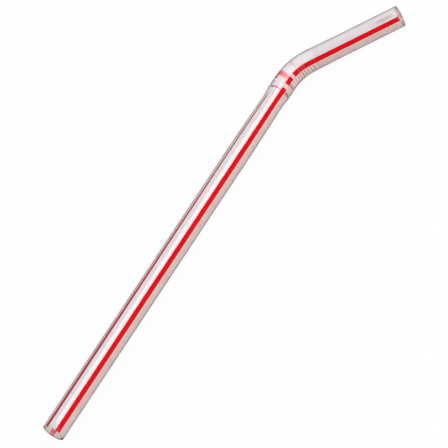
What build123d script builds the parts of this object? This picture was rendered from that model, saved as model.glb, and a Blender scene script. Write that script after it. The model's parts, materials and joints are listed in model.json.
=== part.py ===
# A flexible drinking straw of clear plastic, bent at its pleats and lying on a table.
# It is one extruded tube. The pleats are rolled into its wall, so the wall has one
# thickness from mouth to mouth and follows every fold inside and out.
#
# Millimetres, +Z up. The straw lies on the plane Z = 0. The long leg points along +X and
# the mouth leg turns towards -Y. The origin is under the middle of the straw's own box.

from build123d import *
import os
from math import cos, hypot, pi, radians, sin

# Driving dimensions
long_leg_diameter = 8.0      # outside
mouth_leg_diameter = 7.6     # outside
wall = 0.2
long_leg_length = 124.0      # lower mouth to the start of the neck
mouth_leg_length = 22.7      # end of the taper to the upper mouth
bend_angle = 44.0            # turn of the mouth leg away from the long leg

# The neck, below the pleats. The wall draws in slowly to a waist and opens again quickly.
neck_length = 22.0           # start of the neck to the first pleat
waist_diameter = 7.55        # outside
waist_start = 6.2            # before the first pleat
waist_end = 3.2              # before the first pleat

# The pleats. One pleat runs from valley to valley, and lengths are along the centre line.
# Each has a short flank up from its valley, a crest that slopes a little, and a steep drop.
pleat_count = 11
first_pitch = 0.95           # the first pleat is cut short by the neck
closed_pitch = 1.42
open_pitch = 2.47
rising_pleats = (2, 4)       # their first flank is pulled out flat, counted from the long leg
falling_pleats = (3,)        # their second flank is pulled out flat
first_crest_diameter = 8.3
last_crest_diameter = 7.95
valley_depth = 0.2           # from crest to valley, on radius
open_valley_depth = 0.12     # the same, where a long flank rises from the valley
valley_flat = 0.08
flank = 0.2
open_flank = 1.55            # in place of the short flank
crest_slope = 0.08           # fall of the crest from its high end to its low end
unbent_start = 2.0           # the pleats bend only after this much of their length

# The taper, from the last pleat to the plain tube of the mouth leg
taper_length = 10.0
taper_diameter = 7.84        # outside, at the last pleat

# What follows from them
long_radius = long_leg_diameter / 2
mouth_radius = mouth_leg_diameter / 2
waist_radius = waist_diameter / 2
pleats_start = long_leg_length + neck_length
path_step = 0.04             # straight steps by which the centre line is summed
seam_angle = 25.0            # where each circle starts, round from the top to the outer side


def pitch_of(pleat):
    """Length of one pleat. The first is pleat 1."""
    if pleat == 1:
        return first_pitch
    return open_pitch if pleat in rising_pleats + falling_pleats else closed_pitch


def pleat_start(pleat):
    return sum(pitch_of(earlier) for earlier in range(1, pleat))


pleats_length = pleat_start(pleat_count + 1)


def heading(s):
    """Turn of the centre line, in radians, s along the pleats. It starts and ends gently."""
    share = (s - unbent_start) / (pleats_length - unbent_start)
    share = min(max(share, 0.0), 1.0)
    return radians(bend_angle) * (1 - cos(pi * share)) / 2


def centre(s):
    """Point of the centre line, s along the pleats. Below 0 it is the long leg's axis."""
    if s <= 0:
        return Vector(pleats_start + s, 0, 0)
    x, y = pleats_start, 0.0
    count = max(1, round(s / path_step))
    step = s / count
    for i in range(count):
        turn = heading((i + 0.5) * step)
        x += step * cos(turn)
        y -= step * sin(turn)
    return Vector(x, y, 0)


def station(s):
    """Plane across the centre line, s along the pleats. Its X points to where the circles start."""
    turn = heading(s)
    lean = radians(seam_angle)
    seam = (sin(lean) * sin(turn), sin(lean) * cos(turn), cos(lean))
    return Plane(origin=centre(s), x_dir=seam, z_dir=(cos(turn), -sin(turn), 0))


def crest_radius(s):
    """Outside radius of a crest, s along the pleats. It shrinks from the long leg to the mouth leg."""
    diameter = first_crest_diameter
    diameter += (last_crest_diameter - first_crest_diameter) * s / pleats_length
    return diameter / 2


def valley_radius(pleat):
    """Outside radius of the valley in which a pleat starts."""
    depth = open_valley_depth if pleat in rising_pleats else valley_depth
    return crest_radius(pleat_start(pleat)) - depth


def folded_profile():
    """Outside of the neck, the pleats and the taper, as (distance along the pleats, radius)."""
    points = [(-neck_length, long_radius), (-waist_start, waist_radius), (-waist_end, waist_radius)]
    for pleat in range(1, pleat_count + 1):
        start = pleat_start(pleat)
        end = pleat_start(pleat + 1)
        if pleat > 1:
            points.append((start + valley_flat / 2, valley_radius(pleat)))
        high = start + valley_flat / 2 + (open_flank if pleat in rising_pleats else flank)
        low = end - valley_flat / 2 - (open_flank if pleat in falling_pleats else flank)
        points.append((high, crest_radius(high)))
        points.append((low, crest_radius(low) - crest_slope))
        points.append((end - valley_flat / 2, valley_radius(pleat + 1)))
    points.append((pleats_length + valley_flat / 2, valley_radius(pleat_count + 1)))
    points.append((pleats_length + valley_flat / 2 + flank, taper_diameter / 2))
    points.append((pleats_length + taper_length, mouth_radius))
    return points


def drawn_in(points, amount):
    """The same profile, moved inwards by amount square to each stretch. Its ends keep their place."""
    moved = [(points[0][0], points[0][1] - amount)]
    for before, here, after in zip(points, points[1:], points[2:]):
        normals = []
        for a, b in ((before, here), (here, after)):
            run, rise = b[0] - a[0], b[1] - a[1]
            length = hypot(run, rise)
            normals.append((-rise / length, run / length))
        (ns, nr), (ms, mr) = normals
        shift = amount / (1 + ns * ms + nr * mr)
        moved.append((here[0] - shift * (ns + ms), here[1] - shift * (nr + mr)))
    moved.append((points[-1][0], points[-1][1] - amount))
    return moved


def turned_core(points):
    """Solid inside a profile, made of ruled bands between circles that fan out round the bend."""
    return loft([station(s) * Circle(r) for s, r in points], ruled=True)


def make_folded_part():
    """Neck, pleats and taper as one wall, open at both ends."""
    outside = folded_profile()
    return turned_core(outside) - turned_core(drawn_in(outside, wall))


def make_long_leg():
    ring = Circle(long_radius) - Circle(long_radius - wall)
    return extrude(Plane.YZ * ring, long_leg_length)


def make_mouth_leg():
    ring = Circle(mouth_radius) - Circle(mouth_radius - wall)
    return extrude(station(pleats_length + taper_length) * ring, mouth_leg_length)


def make_straw():
    straw = make_long_leg() + make_folded_part() + make_mouth_leg()
    box = straw.bounding_box()
    middle = box.center()
    return Pos(-middle.X, -middle.Y, -box.min.Z) * straw


def main():
    os.makedirs("parts", exist_ok=True)
    straw = make_straw()
    export_step(straw, "parts/straw.step")
    print("solids", len(straw.solids()), "volume", round(straw.volume, 1), "box", straw.bounding_box())


main()
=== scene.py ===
# %% [markdown]
# # A flexible drinking straw
# This lesson dresses one imported part: a clear plastic straw with red stripes, bent at its
# pleats and lying on a table. The imported model gives the frame, and every size below is in
# that frame, so nothing is fitted by eye afterwards. Lengths are in metres. The pitches of
# the pleats and the distances in the material are in millimetres, which read more easily.

# %% Load the frame
import json
from math import atan2, cos, hypot, pi, radians, sin

import bmesh
import bpy
from mathutils import Matrix, Vector


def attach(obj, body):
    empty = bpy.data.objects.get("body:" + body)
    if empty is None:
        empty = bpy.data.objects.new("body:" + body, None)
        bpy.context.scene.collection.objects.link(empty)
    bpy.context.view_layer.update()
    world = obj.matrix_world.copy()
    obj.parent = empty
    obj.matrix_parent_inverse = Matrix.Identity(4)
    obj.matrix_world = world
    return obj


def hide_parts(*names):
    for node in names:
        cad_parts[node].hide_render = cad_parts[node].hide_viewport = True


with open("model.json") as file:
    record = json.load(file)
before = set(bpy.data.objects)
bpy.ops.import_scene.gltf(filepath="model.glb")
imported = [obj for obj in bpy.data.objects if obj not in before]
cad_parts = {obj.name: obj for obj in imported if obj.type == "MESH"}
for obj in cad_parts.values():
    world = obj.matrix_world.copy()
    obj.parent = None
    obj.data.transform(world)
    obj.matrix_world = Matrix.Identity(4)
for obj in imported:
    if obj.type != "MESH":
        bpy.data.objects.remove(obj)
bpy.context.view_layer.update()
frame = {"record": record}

MM = 0.001


# %% [markdown]
# ## The straw's sizes
# The record states both open mouths and the long leg as mounts, so their radii, lengths and
# places are read from there. The neck and the pleats have no mount, so their sizes are
# named here, as they are in the part.

# %% Sizes of the legs, from the record
mounts = {mount["name"]: mount for mount in frame["record"]["mounts"]}
lower = mounts["lower_mouth"]
upper = mounts["upper_mouth"]
outside = mounts["long_leg_outside"]
lower_mouth = Vector(lower["pos_m"])
upper_mouth = Vector(upper["pos_m"])
long_radius = outside["dims"]["r_mm"] * MM
wall = long_radius - lower["dims"]["r_mm"] * MM
mouth_radius = upper["dims"]["r_mm"] * MM + wall
long_leg = outside["dims"]["length_mm"] * MM
mouth_leg = upper["dims"]["length_mm"] * MM
print("long leg", long_leg, "radius", long_radius, "mouth leg", mouth_leg, "radius", mouth_radius)

# %% Sizes of the neck, the pleats and the taper
neck = 22.0 * MM
waist_radius = 3.775 * MM
waist_start = 6.2 * MM       # before the first pleat
waist_end = 3.2 * MM
bend_angle = radians(44.0)
unbent_start = 2.0 * MM
first_pitch = 0.95           # mm, because the neck cuts the first pleat short
open_pitch = 2.47
closed_pitch = 1.42
pitches = [first_pitch] + [open_pitch] * 3 + [closed_pitch] * 7
rising_pleats = (2, 4)       # their first flank is pulled out flat
falling_pleats = (3,)        # their second flank is
pleat_count = len(pitches)
first_crest = 4.15 * MM
last_crest = 3.975 * MM
valley_depth = 0.2 * MM
open_valley_depth = 0.12 * MM
valley_flat = 0.08 * MM
flank = 0.2 * MM
open_flank = 1.55 * MM
crest_slope = 0.08 * MM
taper = 10.0 * MM
taper_radius = 3.92 * MM     # at the last pleat
pleats_start = long_leg + neck


def pleat_start(pleat):
    """Where a pleat starts, from the start of the pleats. The first is pleat 1."""
    return sum(pitches[:pleat - 1]) * MM


pleats = pleat_start(pleat_count + 1)
straw_length = pleats_start + pleats + taper + mouth_leg
print("centre line", round(straw_length / MM, 2), "mm, pleats", round(pleats / MM, 2), "mm")

# %% [markdown]
# ## The centre line
# The long leg is straight. In the pleats the line turns by a half cosine wave, which starts
# and ends gently, and the mouth leg is straight again. There is no formula for where such a
# curve gets to, so its points are summed in short steps. A modifier could bend a straight
# tube too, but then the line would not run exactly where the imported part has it.
#
# `station` gives the place of a ring round that line. Its first axis points up, its second
# to the inner side of the bend, and its third along the straw. An angle round the straw is
# then measured from the top towards the inner side, and a lengthwise stripe has one angle.

# %% Walk along the centre line
path_step = 0.04 * MM


def heading(distance):
    """Turn of the centre line, in radians, at a distance from the lower mouth."""
    share = (distance - pleats_start - unbent_start) / (pleats - unbent_start)
    return bend_angle * (1 - cos(pi * min(max(share, 0.0), 1.0))) / 2


def ahead(distance):
    """Direction of the centre line."""
    turn = heading(distance)
    return Vector((cos(turn), -sin(turn), 0))


steps = round(pleats / path_step)
step = pleats / steps
bend_points = [lower_mouth + Vector((pleats_start, 0, 0))]
for i in range(steps):
    bend_points.append(bend_points[-1] + step * ahead(pleats_start + (i + 0.5) * step))
print("points round the bend", len(bend_points))

# %% Find a place on the centre line
def centre(distance):
    """Point of the centre line at a distance from the lower mouth."""
    if distance <= pleats_start:
        return lower_mouth + Vector((distance, 0, 0))
    passed = min(int((distance - pleats_start) / step), steps)
    return bend_points[passed] + (distance - pleats_start - passed * step) * ahead(distance)


def station(distance, radius):
    """Matrix that puts a circle of radius 1 round the centre line."""
    turn = heading(distance)
    up, inner, along = (0, 0, 1), (-sin(turn), -cos(turn), 0), (cos(turn), -sin(turn), 0)
    place = Matrix((up, inner, along)).transposed().to_4x4()
    place.translation = centre(distance)
    return place @ Matrix.Diagonal((radius, radius, 1, 1))


missed = (centre(straw_length) - upper_mouth).length
print("the centre line ends", round(missed / MM, 4), "mm from the upper mouth")

# %% [markdown]
# ## The outline of the wall
# A real straw is extruded as a plain tube, and a machine then rolls the pleats into it. One
# line can describe the result: the distance along the straw and the radius there. The neck
# draws in to a waist before the pleats. Each closed pleat is a short flank up, a crest that
# falls a little and a short flank down. The second, third and fourth are pulled open, so one
# of their flanks is long. After the last pleat the tube tapers to the mouth leg.
#
# The inner face is the same line moved inwards by the wall, square to each stretch. That is
# why a line is used, and not a row of pleats modelled one by one: both faces follow it. The
# folds of a real straw are soft, so every corner is rounded afterwards.

# %% Draw the outer line
def crest_radius(s):
    """Radius of a crest, s along the pleats."""
    return first_crest + (last_crest - first_crest) * s / pleats


def valley_radius(pleat):
    """Radius of the valley in which a pleat starts."""
    depth = open_valley_depth if pleat in rising_pleats else valley_depth
    return crest_radius(pleat_start(pleat)) - depth


def folded_line():
    """Corners of the outer line from the neck to the end of the taper, as (distance, radius)."""
    points = [(-neck, long_radius), (-waist_start, waist_radius), (-waist_end, waist_radius)]
    for pleat in range(1, pleat_count + 1):
        start, end = pleat_start(pleat), pleat_start(pleat + 1)
        high = start + valley_flat / 2 + (open_flank if pleat in rising_pleats else flank)
        low = end - valley_flat / 2 - (open_flank if pleat in falling_pleats else flank)
        if pleat > 1:
            points.append((start + valley_flat / 2, valley_radius(pleat)))
        points.append((high, crest_radius(high)))
        points.append((low, crest_radius(low) - crest_slope))
        points.append((end - valley_flat / 2, valley_radius(pleat + 1)))
    points.append((pleats + valley_flat / 2, valley_radius(pleat_count + 1)))
    points.append((pleats + valley_flat / 2 + flank, taper_radius))
    points.append((pleats + taper, mouth_radius))
    return [(pleats_start + s, r) for s, r in points]


outer_corners = [(0.0, long_radius)] + folded_line() + [(straw_length, mouth_radius)]
print("corners of the outer line", len(outer_corners))

# %% Move it inwards for the inner line
def moved_inwards(points, amount):
    """The line moved inwards by amount. Its two ends stay in the planes of the mouths."""
    ends = [(points[0][0] - MM, points[0][1])] + points + [(points[-1][0] + MM, points[-1][1])]
    moved = []
    for before, here, after in zip(ends, ends[1:], ends[2:]):
        normals = []
        for a, b in ((before, here), (here, after)):
            length = hypot(b[0] - a[0], b[1] - a[1])
            normals.append(((a[1] - b[1]) / length, (b[0] - a[0]) / length))
        (ns, nr), (ms, mr) = normals
        shift = amount / (1 + ns * ms + nr * mr)
        moved.append((here[0] - shift * (ns + ms), here[1] - shift * (nr + mr)))
    return moved


inner_corners = moved_inwards(outer_corners, wall)
print("smallest radius of the bore", round(min(r for s, r in inner_corners) / MM, 3), "mm")

# %% Round the folds of both lines
fold_reach = 0.05 * MM       # how far before a fold its rounding starts
fold_steps = 4
most_of_stretch = 0.45       # share of a short stretch that a rounding may take
longest_stretch = 4.0 * MM   # between two rings on a straight stretch


def between(a, b, share):
    """Point on the way from a to b."""
    return (a[0] + (b[0] - a[0]) * share, a[1] + (b[1] - a[1]) * share)


def rounded(points):
    """The line with its corners rounded and its long stretches divided."""
    line = [points[0]]
    for before, here, after in zip(points, points[1:], points[2:]):
        span_in = hypot(here[0] - before[0], here[1] - before[1])
        span_out = hypot(after[0] - here[0], after[1] - here[1])
        first = between(here, before, min(fold_reach / span_in, most_of_stretch))
        last = between(here, after, min(fold_reach / span_out, most_of_stretch))
        for i in range(fold_steps + 1):
            share = i / fold_steps
            line.append(between(between(first, here, share), between(here, last, share), share))
    line.append(points[-1])
    dense = []
    for a, b in zip(line, line[1:]):
        count = max(1, round(abs(b[0] - a[0]) / longest_stretch))
        dense += [between(a, b, i / count) for i in range(count)]
    return dense + [line[-1]]


outer_line = rounded(outer_corners)
inner_line = rounded(inner_corners)
print("rings on the outer face", len(outer_line), "and on the inner face", len(inner_line))

# %% [markdown]
# ## The tube
# A straw is one skin with two faces and a cut edge at each end. A modifier could give a plain
# surface its thickness, but it would not know where the folds of the inner face belong. So
# both faces are drawn, like a stocking: one circle is extruded from ring to ring along the
# outer face, turns in over the rim of the upper mouth, and comes back along the inner face.
# The last ring is bridged to the first one, which closes the rim of the lower mouth.
#
# Each ring remembers its angle and its distance. They become the UV map, so stripes and
# folds can be placed on the plastic by two plain numbers: turns from the top towards the
# inner side of the bend, and metres from the lower mouth.

# %% Line up the rings
rim_round = 0.05 * MM
rim_corner = 0.3 * rim_round  # from each face to the middle of the rounded edge


def rim(distance, side, radius):
    """Rings over the rim of a mouth, from the outer face to the inner one."""
    bore = radius - wall
    return [
        (distance + side * rim_round, radius),
        (distance + side * rim_corner, radius - rim_corner),
        (distance, radius - rim_round),
        (distance, bore + rim_round),
        (distance + side * rim_corner, bore + rim_corner),
        (distance + side * rim_round, bore),
    ]


lower_rim = rim(0.0, 1, long_radius)
upper_rim = rim(straw_length, -1, mouth_radius)
half_rim = len(lower_rim) // 2
outer_rings = lower_rim[:half_rim][::-1] + outer_line[1:-1] + upper_rim[:half_rim]
inner_rings = upper_rim[half_rim:] + inner_line[-2:0:-1] + lower_rim[half_rim:][::-1]
rings = outer_rings + inner_rings
print("rings", len(rings))

# %% Extrude the tube ring by ring
ring_points = 128

bm = bmesh.new()
turn_layer = bm.verts.layers.float.new("turn")
along_layer = bm.verts.layers.float.new("along")
inside_layer = bm.verts.layers.float.new("inside")
first_ring = bmesh.ops.create_circle(bm, segments=ring_points, radius=1.0)["verts"]
for v in first_ring:
    v[turn_layer] = atan2(v.co.y, v.co.x) / (2 * pi) % 1.0
first_edges = list(bm.edges)
place = station(*rings[0])
bmesh.ops.transform(bm, matrix=place, verts=first_ring)
edges = first_edges
made_rings = []
for number, (distance, radius) in enumerate(rings[1:], 1):
    is_inner = number >= len(outer_rings)
    made = bmesh.ops.extrude_edge_only(bm, edges=edges)["geom"]
    verts = [g for g in made if isinstance(g, bmesh.types.BMVert)]
    edges = [g for g in made if isinstance(g, bmesh.types.BMEdge)]
    following = station(distance, radius)
    bmesh.ops.transform(bm, matrix=following @ place.inverted(), verts=verts)
    for v in verts:
        v[along_layer] = distance
        v[inside_layer] = float(is_inner)
    made_rings.append((verts, distance, radius, is_inner))
    place = following
bmesh.ops.bridge_loops(bm, edges=edges + first_edges)
bmesh.ops.recalc_face_normals(bm, faces=bm.faces)
print("faces", len(bm.faces), "open edges", sum(edge.is_boundary for edge in bm.edges))

# %% [markdown]
# ## The stretched side of the bend
# A pleat closes on the inner side of the bend and is pulled nearly flat on the outer side.
# The rings are true circles so far. Where the wall is stretched, each point moves most of the
# way to the line that the crests make, and where it is squeezed it stays. Moving the points
# keeps the mesh whole, which a second, smoother tube for the outer side would not.

# %% Flatten the pleats towards the outer side
most_flattened = 0.85        # share of the depth that is lost
squeezed_half = 15.0         # degrees round the inner side that keep the full depth
flattened_from = 70.0        # degrees from the inner side
pleats_end = pleats + valley_flat / 2 + flank


def flattened(turn):
    """Share of a pleat's depth that is stretched out. The inner side is a quarter turn on."""
    from_inner = abs((turn + 0.25) % 1.0 - 0.5) * 360.0
    share = (from_inner - squeezed_half) / (flattened_from - squeezed_half)
    share = min(max(share, 0.0), 1.0)
    return most_flattened * share * share * (3 - 2 * share)


moved_points = 0
for verts, distance, radius, is_inner in made_rings:
    s = distance - pleats_start
    if 0 < s < pleats_end:
        smooth_radius = crest_radius(s) - crest_slope / 2 - (wall if is_inner else 0)
        middle = centre(distance)
        for v in verts:
            scale = 1 + flattened(v[turn_layer]) * (smooth_radius / radius - 1)
            v.co = middle + (v.co - middle) * scale
        moved_points += len(verts)
print("points in the pleats", moved_points)

# %% Lay the two numbers down as the UV map
uv_layer = bm.loops.layers.uv.new("around_and_along")
for face in bm.faces:
    face.smooth = True
    turns = [corner.vert[turn_layer] for corner in face.loops]
    crosses_top = max(turns) - min(turns) > 0.5
    for corner, turn in zip(face.loops, turns):
        u = turn + 1.0 if crosses_top and turn < 0.5 else turn
        corner[uv_layer].uv = (u, corner.vert[along_layer])

straw_mesh = bpy.data.meshes.new("drinking_straw")
bm.to_mesh(straw_mesh)
bm.free()
straw = bpy.data.objects.new("drinking_straw", straw_mesh)
bpy.context.scene.collection.objects.link(straw)
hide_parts("straw")
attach(straw, "root")
print("straw mesh", len(straw_mesh.polygons), "faces")

# %% [markdown]
# ## Small helpers for the material
# A shader is a graph of nodes. These helpers add one node each and join it to the ones
# before it, so that the recipe below reads like sums.

# %% Add a node and join it
def new_material(name):
    """An empty material and its node tree."""
    material = bpy.data.materials.new(name)
    material.use_nodes = True
    material.node_tree.nodes.clear()
    return material, material.node_tree


def add(tree, kind, settings=None, **inputs):
    """A new node. Settings are its own properties, and inputs its sockets: numbers or links.

    A socket goes by its name, or by n and its number where names repeat.
    """
    node = tree.nodes.new(kind)
    for name, value in (settings or {}).items():
        setattr(node, name, value)
    for name, value in inputs.items():
        numbered = name[0] == "n" and name[1:].isdigit()
        socket = node.inputs[int(name[1:]) if numbered else name.replace("_", " ")]
        if isinstance(value, bpy.types.NodeSocket):
            tree.links.new(value, socket)
        else:
            socket.default_value = value
    return node


# %% Sums, fades and colours
def calc(tree, operation, *values):
    """One Math node. Returns its result."""
    return add(tree, "ShaderNodeMath", {"operation": operation},
               **{f"n{i}": v for i, v in enumerate(values)}).outputs[0]


def times(tree, a, b):
    """a times b."""
    return calc(tree, "MULTIPLY", a, b)


def less(tree, a, b):
    """a less b."""
    return calc(tree, "SUBTRACT", a, b)


def without(tree, mask):
    """1 where the mask is 0, and 0 where it is 1."""
    return calc(tree, "SUBTRACT", 1.0, mask)


def fade(tree, value, start, end):
    """1 where value is below start, 0 above end, and a smooth step between them."""
    return add(tree, "ShaderNodeMapRange", {"interpolation_type": "SMOOTHSTEP"},
               n0=value, n1=start, n2=end, n3=1.0, n4=0.0).outputs[0]


def blend(tree, share, a, b):
    """Colour a where share is 0 and colour b where it is 1."""
    return add(tree, "ShaderNodeMix", {"data_type": "RGBA"}, n0=share, n6=a, n7=b).outputs[2]


def colour(red, green, blue):
    """A colour as a socket takes it, with its alpha."""
    return (red, green, blue, 1.0)


# %% [markdown]
# ## The plastic
# Straws are polypropylene: clear, but milky enough that what lies behind the wall is only a
# tint. The red stripes are a second melt that runs in the wall, so they have a clean edge,
# but they get no glossy coat. One material can hold both, with masks that come from the UV
# map. Three plain materials would need cuts in the mesh, and the edges would show.
#
# There are three stripes: a broad one towards the inner side of the bend, one opposite it,
# and a thin one near the top that gets narrower towards the pleats. Where a pleat is pulled
# open, the broad stripe has a pale gap, a painted highlight on the open flank. Of the thin
# stripe only short traces are left in the pleats, with painted highlights between them.
#
# A mask is made of two fades, one by angle and one by distance. `ring` and `sector` make one
# each, and `patch` multiplies them.

# %% Read the angle and the distance from the UV map
plastic, tree = new_material("striped_clear_plastic")
uv = add(tree, "ShaderNodeUVMap", {"uv_map": "around_and_along"}).outputs[0]
split = add(tree, "ShaderNodeSeparateXYZ", Vector=uv)
degrees = times(tree, split.outputs[0], 360.0)
along = times(tree, split.outputs[1], 1.0 / MM)
into_pleats = less(tree, along, pleats_start / MM)
to_upper = less(tree, straw_length / MM, along)
print("angles in degrees, distances in mm, nodes", len(tree.nodes))

# %% Helpers for masks
stripe_edge = 1.6            # degrees over which a stripe's edge fades


def away_from(angle):
    """Degrees between a point and a line at that angle."""
    turned = less(tree, degrees, angle)
    return calc(tree, "ABSOLUTE", calc(tree, "WRAP", turned, 180.0, -180.0))


def stripe(angle, half):
    """1 on a lengthwise stripe. Half its width, in degrees, is a number or a link."""
    past_half = less(tree, away_from(angle), half)
    return fade(tree, past_half, -stripe_edge / 2, stripe_edge / 2)


def ring(start, end, edge):
    """1 between two distances into the pleats."""
    middle, half = (start + end) / 2, (end - start) / 2
    away = calc(tree, "ABSOLUTE", less(tree, into_pleats, middle))
    return fade(tree, away, half - edge / 2, half + edge / 2)


def sector(start, end, edge):
    """1 between two angles round the straw."""
    half = (end - start) / 2
    return fade(tree, away_from((start + end) / 2), half - edge / 2, half + edge / 2)


def patch(start, end, edge, from_angle, to_angle, angle_edge):
    """1 on a patch of the wall, by distance into the pleats and by angle."""
    return times(tree, ring(start, end, edge), sector(from_angle, to_angle, angle_edge))


# %% Lay the broad stripe and the one opposite it
broad_stripe = 57.7          # degrees from the top, towards the inner side of the bend
opposite_stripe = 228.5
broad_half = 12.5            # half the width of both
highlight_gaps = ((0.95, 2.6), (5.95, 7.4))    # painted highlights, by start and end into the pleats
highlight_gap_edge = 0.25

highlight_gap = calc(tree, "MAXIMUM", *(ring(start, end, highlight_gap_edge) for start, end in highlight_gaps))
broad = times(tree, stripe(broad_stripe, broad_half), without(tree, highlight_gap))
opposite = stripe(opposite_stripe, broad_half)
print("the broad stripe is", round(radians(2 * broad_half) * long_radius / MM, 2), "mm wide")

# %% Lay the thin stripe
thin_stripe = 355.0
thin_half = 4.0              # half its width at the pleats
thin_more = 4.5              # added to that at the lower mouth
narrows_from = 20.0          # mm from the lower mouth
thin_end = (-5.0, -2.5)      # it runs out between these distances into the pleats
# Between these traces the thin stripe is left off, for painted highlights on the flanks
traces = (                   # start and end into the pleats, then the two angles
    (-0.8, -0.1, 348.0, 362.0),
    (1.4, 1.9, 343.0, 353.0),
    (3.0, 4.1, 326.0, 350.0),
    (4.3, 5.4, 324.0, 349.0),
    (6.4, 7.8, 308.0, 338.0),
    # This one is no trace of the thin stripe: a red line painted across the inner side, for the
    # broad stripe's red reflected in a fold
    (2.75, 3.15, 66.0, 108.0),
)
trace_edge = 0.3
trace_angle_edge = 5.0

widening = times(tree, fade(tree, along, narrows_from, pleats_start / MM), thin_more)
thin_width = times(tree, calc(tree, "ADD", widening, thin_half), fade(tree, into_pleats, *thin_end))
thin = stripe(thin_stripe, thin_width)
for start, end, from_angle, to_angle in traces:
    trace = patch(start, end, trace_edge, from_angle, to_angle, trace_angle_edge)
    thin = calc(tree, "MAXIMUM", thin, trace)
red = calc(tree, "MAXIMUM", calc(tree, "MAXIMUM", broad, opposite), thin)
print("nodes with the stripes", len(tree.nodes))

# %% [markdown]
# ## The colour of the wall
# Clear plastic is never one colour. The side beyond the broad stripe gets a painted shade
# with a warm pink cast, a painted red glow runs along that stripe's edge, and the far inside
# of the bore gets painted warm light. The rest is a cool white, and the colours drift a little
# along the straw. In the pleats, light and shade are painted as small marks: a salmon and
# scarlet glow where the stripe shines through, a crimson line of painted shade and red light
# in the first valley, brown painted shade on the inner side with the stripe's red reflected
# in it, a faint lilac band, and mauve painted shade and sand painted light that ripple where
# the pleats are squeezed. A soft grey patch lies on the mouth leg. At both mouths the wall
# ends and light leaves it there, so painted shade greys the far lip, and the cut edge of the
# upper mouth too.
#
# A painted picture could hold all this, but it would fit one size only. Each mark is a mask
# with a share and a tint, so a loop lays them one over the other.

# %% Let the colour drift along the wall
drift_round = 0.02           # spots of the noise for each degree round the straw
drift_along = 0.22           # and for each mm along it
drift_high, drift_low = 0.62, 0.38   # the noise is spread out between these values

spots = add(tree, "ShaderNodeCombineXYZ", X=times(tree, degrees, drift_round),
            Y=times(tree, along, drift_along)).outputs[0]
noise = add(tree, "ShaderNodeTexNoise", {"noise_dimensions": "2D"},
            Vector=spots, Scale=1.0, Detail=2.0).outputs["Fac"]
drift = fade(tree, noise, drift_high, drift_low)


def laid(under, mask, share, tint):
    """A colour with a tint laid over it by a share, where the mask is 1."""
    return blend(tree, times(tree, mask, share), under, tint)


print("nodes with the drift", len(tree.nodes))

# %% Colour the plain wall
milky = colour(0.92, 0.885, 0.90)
shade_pink = colour(0.73, 0.48, 0.465)
shade_beige = colour(0.78, 0.65, 0.55)
cool_pink = colour(0.93, 0.83, 0.87)
cool_grey = colour(0.90, 0.91, 0.92)
bore_light = colour(1.0, 0.83, 0.75)
stripe_glow_pink = colour(1.0, 0.60, 0.56)
shaded_side_middle = broad_stripe + 45.0    # middle of the painted shade, in degrees
shaded_side_reach = (30.0, 60.0)            # it fades out between these distances from its middle
stripe_glow_reach = (0.5, 7.0)              # of the painted red glow, in degrees past the edge of the broad stripe
underside_from, underside_to, underside_edge = 140.0, 285.0, 50.0    # degrees
shade_pink_share = 0.8
shade_beige_share = 0.45
cool_share = 0.6
bore_light_share = 0.85
stripe_glow_share = 0.55

inside = add(tree, "ShaderNodeAttribute", {"attribute_name": "inside"}).outputs["Fac"]
underside = sector(underside_from, underside_to, underside_edge)
far_bore = times(tree, inside, underside)
# Painted shade with a pink cast on the side beyond the broad stripe
shaded_side = fade(tree, away_from(shaded_side_middle), *shaded_side_reach)
# Painted red glow along the edge of the broad stripe
stripe_glow = fade(tree, less(tree, away_from(broad_stripe), broad_half), *stripe_glow_reach)
tinted = laid(milky, shaded_side, shade_pink_share, shade_pink)
tinted = blend(tree, shade_beige_share, tinted, laid(tinted, shaded_side, drift, shade_beige))
tinted = laid(tinted, without(tree, shaded_side), cool_share, blend(tree, drift, cool_pink, cool_grey))
# Painted warm light on the far inside of the bore
tinted = laid(tinted, far_bore, bore_light_share, bore_light)
tinted = laid(tinted, stripe_glow, stripe_glow_share, stripe_glow_pink)
print("nodes with the plain wall", len(tree.nodes))

# %% Lay the small marks
shade_mauve = colour(0.72, 0.36, 0.46)
light_sand = colour(0.95, 0.82, 0.68)
crimson_crease_shade = colour(0.62, 0.14, 0.25)
salmon_glow = colour(0.98, 0.27, 0.28)
scarlet_glow = colour(0.90, 0.14, 0.17)
brown_shade = colour(0.38, 0.12, 0.10)
lilac = colour(0.62, 0.45, 0.58)
grey_patch = colour(0.55, 0.51, 0.53)

# Painted shade and light for the squeezed pleats: mauve shade and sand light take turns with each
# pleat
wave = calc(tree, "SINE", times(tree, into_pleats, 2 * pi / closed_pitch))
fold_shade_and_light = blend(tree, calc(tree, "MULTIPLY_ADD", wave, 0.5, 0.5), shade_mauve, light_sand)
marks = (                    # the six numbers of a patch, then its share and its tint
    # painted shade and light of the squeezed pleats
    ((3.3, 17.5, 1.0, 72.0, 140.0, 16.0), 0.75, fold_shade_and_light),
    # painted shade and red light in the crease of the first valley
    ((-0.45, 0.1, 0.3, -12.0, 44.0, 8.0), 0.8, crimson_crease_shade),
    # painted glow where the broad stripe shines through
    ((4.1, 6.2, 0.9, -5.0, 46.0, 14.0), 0.85, salmon_glow),
    # the same painted glow, stronger, on the top and outer side
    ((4.5, 6.4, 0.9, -54.0, 4.0, 18.0), 0.9, scarlet_glow),
    # painted shade in the first valley on the inner side, with the stripe's red reflected in it
    ((-0.8, 0.1, 0.5, 72.0, 110.0, 12.0), 0.9, brown_shade),
    ((9.9, 10.9, 0.6, -20.0, 40.0, 10.0), 0.4, lilac),
    # a soft grey patch on the mouth leg
    ((43.3, 49.3, 2.5, 17.0, 33.0, 10.0), 0.6, grey_patch),
)
for place, share, tint in marks:
    tinted = laid(tinted, patch(*place), share, tint)
print("marks", len(marks), "nodes", len(tree.nodes))

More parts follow.
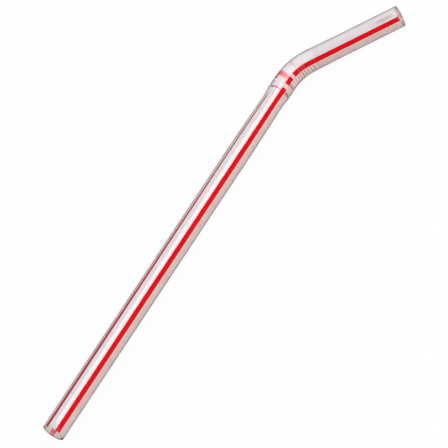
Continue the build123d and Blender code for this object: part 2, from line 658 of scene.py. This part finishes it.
# %% Put the stripes and the two ends on
stripe_red = colour(0.57, 0.004, 0.008)
deep_red = colour(0.47, 0.003, 0.010)
deep_share = 0.5
thin_red = colour(0.40, 0.02, 0.045)
red_from_inside = colour(1.0, 0.34, 0.43)
rim_shade = colour(0.20, 0.15, 0.17)
rim_shade_reach = (0.2, 0.5)       # mm from the upper mouth
rim_shade_share = 0.4
lip_shade = colour(0.26, 0.21, 0.23)
lower_lip = (0.25, 0.65)     # mm from the lower mouth
upper_lip = (0.6, 1.3)       # mm from the upper mouth
lip_share = 0.7

broad_red = blend(tree, times(tree, drift, deep_share), stripe_red, deep_red)
outer_red = blend(tree, thin, broad_red, thin_red)
base = blend(tree, red, tinted, blend(tree, inside, outer_red, red_from_inside))
# Painted shade darkens the cut edge of the upper mouth
base = laid(base, fade(tree, to_upper, *rim_shade_reach), rim_shade_share, rim_shade)
# Painted shade greys the far lip inside both mouths
lips = calc(tree, "MAXIMUM", fade(tree, along, *lower_lip), fade(tree, to_upper, *upper_lip))
base = laid(base, times(tree, lips, far_bore), lip_share, lip_shade)
print("nodes for the colour", len(tree.nodes))

# %% [markdown]
# ## Milk and glass
# Seen square on, the wall looks milky, because it scatters light. Seen edge on, at the sides
# of the tube, light runs a long way through the plastic and the edge turns dark. So the milky
# share is a diffuse layer that fades out with the slant of the surface, glass takes its
# place, and the absorption inside the wall draws the dark outline by itself. The underside
# stays clearer, so that the bore is pale when it is seen through a mouth.
#
# The gloss is a thin coat on the clear plastic. It is left off where the surface slants away,
# because a mirror there would hide the dark edge. Where the pleats are stretched the wall is
# a little milkier and duller.

# %% Set the milk and the glass
milk_most = 0.6              # share of milk, seen square on
milk_less_below = 0.5        # taken off on the underside
milk_more_stretched = 0.1    # added where the pleats are stretched
milk_slant = (0.45, 0.75)    # slants between which the milk fades out
stretched_patch = (0.8, 18.6, 1.2, -65.0, 42.0, 14.0)

slant = add(tree, "ShaderNodeLayerWeight", Blend=0.5).outputs["Facing"]
stretched = patch(*stretched_patch)
clear = without(tree, red)
milk = calc(tree, "MULTIPLY_ADD", underside, -milk_less_below, milk_most)
milk = calc(tree, "MULTIPLY_ADD", stretched, milk_more_stretched, milk)
milk = times(tree, milk, fade(tree, slant, *milk_slant))
glass = times(tree, clear, without(tree, milk))
print("nodes with the milk", len(tree.nodes))

# %% Set the roughness and the gloss, and join the surface
rough_stripe = 0.12
rough_more_clear = 0.17      # added on the clear plastic
rough_more_stretched = 0.1
gloss_less_stretched = 0.85
gloss_slant = (0.45, 0.8)    # slants between which the gloss fades out
outline = colour(0.35, 0.08, 0.0)    # what light keeps on its way inside the wall
outline_density = 1000.0

rough = calc(tree, "MULTIPLY_ADD", clear, rough_more_clear, rough_stripe)
rough = calc(tree, "MULTIPLY_ADD", stretched, rough_more_stretched, rough)
gloss = times(tree, clear, fade(tree, slant, *gloss_slant))
gloss = times(tree, gloss, calc(tree, "MULTIPLY_ADD", stretched, -gloss_less_stretched, 1.0))
surface = add(tree, "ShaderNodeBsdfPrincipled", Base_Color=base, Roughness=rough, IOR=1.49,
              Specular_IOR_Level=0.1, Transmission_Weight=glass, Coat_Weight=gloss,
              Coat_Roughness=0.1)
depth = add(tree, "ShaderNodeVolumeAbsorption", Color=outline, Density=outline_density)
add(tree, "ShaderNodeOutputMaterial", Surface=surface.outputs[0], Volume=depth.outputs[0])
straw_mesh.materials.append(plastic)
print("nodes in the plastic", len(tree.nodes))

# %% [markdown]
# ## The floor
# A straw weighs under a gram and simply lies on a table. The floor is a large pale sheet.
# What the camera sees of it is mostly plain white, with enough of the lit floor mixed in to
# keep the straw's soft shadow. Reflections and the light through the plastic get the same.
# A floor lit by lamps alone would have to be very bright to look white, and its light would
# wash out the plastic from below.

# %% Lay the floor
floor_half = 12.0
bm = bmesh.new()
bmesh.ops.create_grid(bm, x_segments=1, y_segments=1, size=floor_half)
floor_mesh = bpy.data.meshes.new("floor")
bm.to_mesh(floor_mesh)
bm.free()
floor = bpy.data.objects.new("floor", floor_mesh)
bpy.context.scene.collection.objects.link(floor)
print("floor", 2 * floor_half, "m wide")

# %% Give it a white ground
paper = colour(0.82, 0.82, 0.82)
white_share = 0.93           # of plain white, for every ray that reaches the camera

pale_floor, tree = new_material("pale_floor")
rays = add(tree, "ShaderNodeLightPath").outputs
bent = calc(tree, "MAXIMUM", rays["Is Glossy Ray"], rays["Is Transmission Ray"])
seen = calc(tree, "MAXIMUM", rays["Is Camera Ray"], bent)
lit = add(tree, "ShaderNodeBsdfDiffuse", Color=paper).outputs[0]
white = add(tree, "ShaderNodeEmission", Color=colour(1, 1, 1), Strength=1.0).outputs[0]
shown = add(tree, "ShaderNodeMixShader", n0=times(tree, seen, white_share), n1=lit, n2=white)
add(tree, "ShaderNodeOutputMaterial", Surface=shown.outputs[0])
floor_mesh.materials.append(pale_floor)
print("nodes in the floor", len(tree.nodes))

# %% [markdown]
# ## Soft light
# A round, glossy thing is drawn by what it reflects. A softbox hangs above the straw, so a
# long highlight runs beside the broad stripe of the long leg. It is short enough that the
# mouth leg, which points another way, doesn't reflect it. A fill from behind and a front lamp
# stand where neither leg reflects them towards the camera, and only lift the colours. The
# world is white at the horizon and darker overhead, which keeps the red of the stripe deep.

# %% Hang the lamps
def hang_lamp(name, width, length, power, place):
    """A lamp with a flat face that shines straight down."""
    data = bpy.data.lights.new(name, "AREA")
    data.shape = "RECTANGLE"
    data.size = width
    data.size_y = length
    data.energy = power
    lamp = bpy.data.objects.new(name, data)
    bpy.context.scene.collection.objects.link(lamp)
    lamp.location = place
    print(name, width, "by", length, "m,", power, "W")
    return lamp


softbox = hang_lamp("softbox", width=1.1, length=0.9, power=12.0, place=(0.51, -0.62, 1.0))
softbox.rotation_euler = (0, 0, radians(-21.4))
hang_lamp("fill", width=2.4, length=1.6, power=11.0, place=(0.2, 1.1, 1.0))
front = hang_lamp("front", width=0.6, length=0.6, power=6.0, place=(-0.33, -1.11, 0.59))
front.rotation_euler = front.location.to_track_quat("Z", "Y").to_euler()

# %% Set the world
horizon = colour(1, 1, 1)
overhead = colour(0.18, 0.18, 0.18)
darkens = (0.12, 0.5)        # heights of a direction between which it gets darker

world = bpy.data.worlds.new("studio")
bpy.context.scene.world = world
world.use_nodes = True
tree = world.node_tree
tree.nodes.clear()
sky = add(tree, "ShaderNodeTexCoord")
height = add(tree, "ShaderNodeSeparateXYZ", Vector=sky.outputs["Generated"]).outputs[2]
glow = blend(tree, fade(tree, height, *darkens), overhead, horizon)
background = add(tree, "ShaderNodeBackground", Color=glow, Strength=1.0)
add(tree, "ShaderNodeOutputWorld", Surface=background.outputs[0])
print("nodes in the world", len(tree.nodes))

# %% [markdown]
# ## The camera
# The photograph was taken with a long lens from above and to the side, and its frame is
# turned so that the straw runs from corner to corner. The lens, the direction, the turn and
# the aim were measured from where the mouths, the edges and the bend lie in the picture.

# %% Place the camera
picture = 448.0              # pixels across
focal_pixels = 6000.0
azimuth, elevation, roll = radians(-26.33), radians(41.98), radians(-38.26)
aim = Vector((-2.4, 0.65, 4.15)) * MM
camera_distance = 2.03

camera_data = bpy.data.cameras.new("camera")
camera_data.sensor_width = 36.0
camera_data.lens = focal_pixels * camera_data.sensor_width / picture
camera_data.clip_start, camera_data.clip_end = 0.1, 100.0
camera = bpy.data.objects.new("camera", camera_data)
bpy.context.scene.collection.objects.link(camera)
outwards = Vector((cos(elevation) * sin(azimuth), -cos(elevation) * cos(azimuth), sin(elevation)))
level_right = Vector((0, 0, 1)).cross(outwards).normalized()
level_up = outwards.cross(level_right)
right = cos(roll) * level_right + sin(roll) * level_up
above = -sin(roll) * level_right + cos(roll) * level_up
pose = Matrix((right, above, outwards)).transposed().to_4x4()
pose.translation = aim + outwards * camera_distance
camera.matrix_world = pose
bpy.context.scene.camera = camera
bpy.context.scene.view_settings.view_transform = "Standard"
print("camera", camera_distance, "m away, lens", round(camera_data.lens, 1), "mm")
